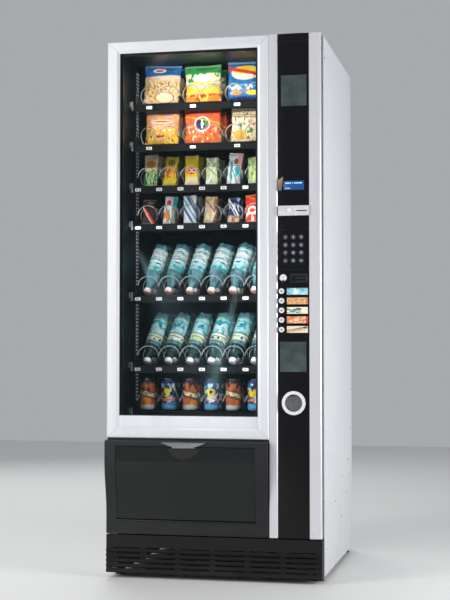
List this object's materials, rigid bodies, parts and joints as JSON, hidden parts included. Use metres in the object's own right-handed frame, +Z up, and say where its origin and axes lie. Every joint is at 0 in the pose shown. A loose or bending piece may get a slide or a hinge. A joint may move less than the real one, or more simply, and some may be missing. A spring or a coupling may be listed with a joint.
{
  "type": "snack vending machine",
  "caption": "Free-standing glass-fronted snack and drink vending machine: spiral shelves, control column, hinged door, sprung collection flap and a cooling unit under the shelves.",
  "frame": {"origin": "middle of the footprint, on the floor under the feet", "axes": "+X to the right as seen by a customer, the glass front faces -Y, +Z up"},
  "size_m": [0.74, 0.82, 1.83],
  "materials": {
    "casing_paint": "satin powder coat",
    "back_steel": "satin",
    "foam": "matte foam",
    "liner": "vacuum-formed sheet",
    "black_steel": "satin",
    "grille_black": "fine grain",
    "foot_black": "matte",
    "plain_steel": "zinc plated",
    "deck_steel": "satin",
    "compressor_black": "gloss enamel",
    "condenser_aluminium": "plain",
    "fan_plastic": "moulded",
    "box_plastic": "moulded",
    "tray_paint": "satin",
    "rail_steel": "zinc plated",
    "motor_plastic": "moulded",
    "spiral_wire": "bright wire",
    "bar_wrapper": "metallised film",
    "bottle_plastic": "clear bottle",
    "door_black": "satin",
    "surround_silver": "satin anodised",
    "door_glass": "clear double glazing",
    "profile_silver": "satin anodised",
    "fascia_black": "high gloss",
    "window_grey": "translucent grey",
    "display_blue": "lit display",
    "coin_steel": "brushed",
    "keypad_black": "gloss",
    "key_grey": "moulded",
    "button_steel": "brushed",
    "reader_black": "moulded",
    "lock_chrome": "polished",
    "mechanism_plastic": "moulded",
    "cup_steel": "brushed",
    "housing_charcoal": "satin grain",
    "bin_paint": "satin",
    "flap_smoke": "smoked gloss",
    "lamp_white": "opal diffuser"
  },
  "bodies": {
    "cabinet": {"side_panels": "casing_paint", "roof_panel": "casing_paint", "back_panel": "back_steel", "insulation": "foam", "inner_liner": "liner", "base_frame": "black_steel", "base_grille": "grille_black", "levelling_feet": "foot_black", "hinge_brackets": "plain_steel", "cooling_deck": "deck_steel", "compressor": "compressor_black", "condenser": "condenser_aluminium", "electrical_box": "box_plastic", "snack_trays": "tray_paint", "drink_trays": "tray_paint", "shelf_rails": "rail_steel", "spiral_motors": "motor_plastic", "shelf_spirals": "spiral_wire"},
    "door": {"door_frame": "door_black", "glass_surround": "surround_silver", "glass_panes": "door_glass", "column_profiles": "profile_silver", "column_fascia": "fascia_black", "window_plates": "window_grey", "price_display": "display_blue", "coin_plate": "coin_steel", "keypad_plate": "keypad_black", "card_reader": "reader_black", "coin_mechanism": "mechanism_plastic", "coin_cup": "cup_steel", "delivery_housing": "housing_charcoal", "delivery_bin": "bin_paint", "light_strips": "lamp_white"},
    "condenser_fan": {"condenser_fan": "fan_plastic"},
    "delivery_flap": {"delivery_flap": "flap_smoke"},
    "security_flap": {"security_flap": "bin_paint"},
    "coin_cup_flap": {"coin_cup_flap": "cup_steel"},
    "coin_reject_button": {"coin_reject_button": "coin_steel"},
    "lock_barrel": {"lock_barrel": "lock_chrome"},
    "bar_spiral": {"bar_spiral": "spiral_wire"},
    "bar_stock": {"bar_stock": "bar_wrapper"},
    "bottle_spiral": {"bottle_spiral": "spiral_wire"},
    "bottle_stock": {"bottle_stock": "bottle_plastic"},
    "key_1": {"key_1": "key_grey"},
    "key_2": {"key_2": "key_grey"},
    "key_3": {"key_3": "key_grey"},
    "key_4": {"key_4": "key_grey"},
    "key_5": {"key_5": "key_grey"},
    "key_6": {"key_6": "key_grey"},
    "key_7": {"key_7": "key_grey"},
    "key_8": {"key_8": "key_grey"},
    "key_9": {"key_9": "key_grey"},
    "key_10": {"key_10": "key_grey"},
    "key_11": {"key_11": "key_grey"},
    "key_12": {"key_12": "key_grey"},
    "select_button_1": {"select_button_1": "button_steel"},
    "select_button_2": {"select_button_2": "button_steel"},
    "select_button_3": {"select_button_3": "button_steel"},
    "select_button_4": {"select_button_4": "button_steel"},
    "select_button_5": {"select_button_5": "button_steel"}
  },
  "joints": [
    {"name": "door_hinge", "type": "hinge", "parent": "cabinet", "child": "door", "pos_m": [-0.36, -0.354, 0.9], "axis": [0, 0, -1], "range_deg": [0, 105]},
    {"name": "delivery_flap_hinge", "type": "hinge", "parent": "door", "child": "delivery_flap", "pos_m": [0, -0.375, 0.206], "axis": [1, 0, 0], "range_deg": [0, 50], "stiffness_Nm_per_rad": 3, "springref_deg": -28.65},
    {"name": "security_flap_hinge", "type": "hinge", "parent": "door", "child": "security_flap", "pos_m": [0, -0.222, 0.446], "axis": [-1, 0, 0], "range_deg": [0, 75]},
    {"name": "coin_cup_flap_hinge", "type": "hinge", "parent": "door", "child": "coin_cup_flap", "pos_m": [0.2766, -0.3765, 0.6165], "axis": [1, 0, 0], "range_deg": [0, 40], "stiffness_Nm_per_rad": 0.02, "springref_deg": -22.92},
    {"name": "coin_reject_press", "type": "slide", "parent": "door", "child": "coin_reject_button", "axis": [0, 1, 0], "range_m": [0, 0.003], "stiffness_N_per_m": 300, "springref_m": -0.001},
    {"name": "lock_turn", "type": "hinge", "parent": "door", "child": "lock_barrel", "pos_m": [0.2426, -0.38, 1.0119], "axis": [0, -1, 0], "range_deg": [0, 90]},
    {"name": "fan_spin", "type": "hinge", "parent": "cabinet", "child": "condenser_fan", "pos_m": [-0.19, 0.205, 0.3], "axis": [0, 1, 0], "continuous": true},
    {"name": "bar_spiral_turn", "type": "hinge", "parent": "cabinet", "child": "bar_spiral", "pos_m": [0.0282, 0, 1.253], "axis": [0, 1, 0], "range_deg": [0, 360]},
    {"name": "bar_stock_advance", "type": "slide", "parent": "cabinet", "child": "bar_stock", "axis": [0, -1, 0], "range_m": [0, 0.0361]},
    {"name": "bottle_spiral_turn", "type": "hinge", "parent": "cabinet", "child": "bottle_spiral", "pos_m": [-0.1274, 0, 0.753], "axis": [0, 1, 0], "range_deg": [0, 360]},
    {"name": "bottle_stock_advance", "type": "slide", "parent": "cabinet", "child": "bottle_stock", "axis": [0, -1, 0], "range_m": [0, 0.0721]},
    {"name": "key_1_press", "type": "slide", "parent": "door", "child": "key_1", "axis": [0, 1, 0], "range_m": [0, 0.0015], "stiffness_N_per_m": 200, "springref_m": -0.001},
    {"name": "key_2_press", "type": "slide", "parent": "door", "child": "key_2", "axis": [0, 1, 0], "range_m": [0, 0.0015], "stiffness_N_per_m": 200, "springref_m": -0.001},
    {"name": "key_3_press", "type": "slide", "parent": "door", "child": "key_3", "axis": [0, 1, 0], "range_m": [0, 0.0015], "stiffness_N_per_m": 200, "springref_m": -0.001},
    {"name": "key_4_press", "type": "slide", "parent": "door", "child": "key_4", "axis": [0, 1, 0], "range_m": [0, 0.0015], "stiffness_N_per_m": 200, "springref_m": -0.001},
    {"name": "key_5_press", "type": "slide", "parent": "door", "child": "key_5", "axis": [0, 1, 0], "range_m": [0, 0.0015], "stiffness_N_per_m": 200, "springref_m": -0.001},
    {"name": "key_6_press", "type": "slide", "parent": "door", "child": "key_6", "axis": [0, 1, 0], "range_m": [0, 0.0015], "stiffness_N_per_m": 200, "springref_m": -0.001},
    {"name": "key_7_press", "type": "slide", "parent": "door", "child": "key_7", "axis": [0, 1, 0], "range_m": [0, 0.0015], "stiffness_N_per_m": 200, "springref_m": -0.001},
    {"name": "key_8_press", "type": "slide", "parent": "door", "child": "key_8", "axis": [0, 1, 0], "range_m": [0, 0.0015], "stiffness_N_per_m": 200, "springref_m": -0.001},
    {"name": "key_9_press", "type": "slide", "parent": "door", "child": "key_9", "axis": [0, 1, 0], "range_m": [0, 0.0015], "stiffness_N_per_m": 200, "springref_m": -0.001},
    {"name": "key_10_press", "type": "slide", "parent": "door", "child": "key_10", "axis": [0, 1, 0], "range_m": [0, 0.0015], "stiffness_N_per_m": 200, "springref_m": -0.001},
    {"name": "key_11_press", "type": "slide", "parent": "door", "child": "key_11", "axis": [0, 1, 0], "range_m": [0, 0.0015], "stiffness_N_per_m": 200, "springref_m": -0.001},
    {"name": "key_12_press", "type": "slide", "parent": "door", "child": "key_12", "axis": [0, 1, 0], "range_m": [0, 0.0015], "stiffness_N_per_m": 200, "springref_m": -0.001},
    {"name": "select_button_1_press", "type": "slide", "parent": "door", "child": "select_button_1", "axis": [0, 1, 0], "range_m": [0, 0.002], "stiffness_N_per_m": 250, "springref_m": -0.001},
    {"name": "select_button_2_press", "type": "slide", "parent": "door", "child": "select_button_2", "axis": [0, 1, 0], "range_m": [0, 0.002], "stiffness_N_per_m": 250, "springref_m": -0.001},
    {"name": "select_button_3_press", "type": "slide", "parent": "door", "child": "select_button_3", "axis": [0, 1, 0], "range_m": [0, 0.002], "stiffness_N_per_m": 250, "springref_m": -0.001},
    {"name": "select_button_4_press", "type": "slide", "parent": "door", "child": "select_button_4", "axis": [0, 1, 0], "range_m": [0, 0.002], "stiffness_N_per_m": 250, "springref_m": -0.001},
    {"name": "select_button_5_press", "type": "slide", "parent": "door", "child": "select_button_5", "axis": [0, 1, 0], "range_m": [0, 0.002], "stiffness_N_per_m": 250, "springref_m": -0.001}
  ],
  "couplings": [
    {"joint": "security_flap_hinge", "follows": "delivery_flap_hinge", "ratio": 1.5},
    {"joint": "bar_stock_advance", "follows": "bar_spiral_turn", "m_per_rad": 0.0057296},
    {"joint": "bottle_stock_advance", "follows": "bottle_spiral_turn", "m_per_rad": 0.011459}
  ]
}
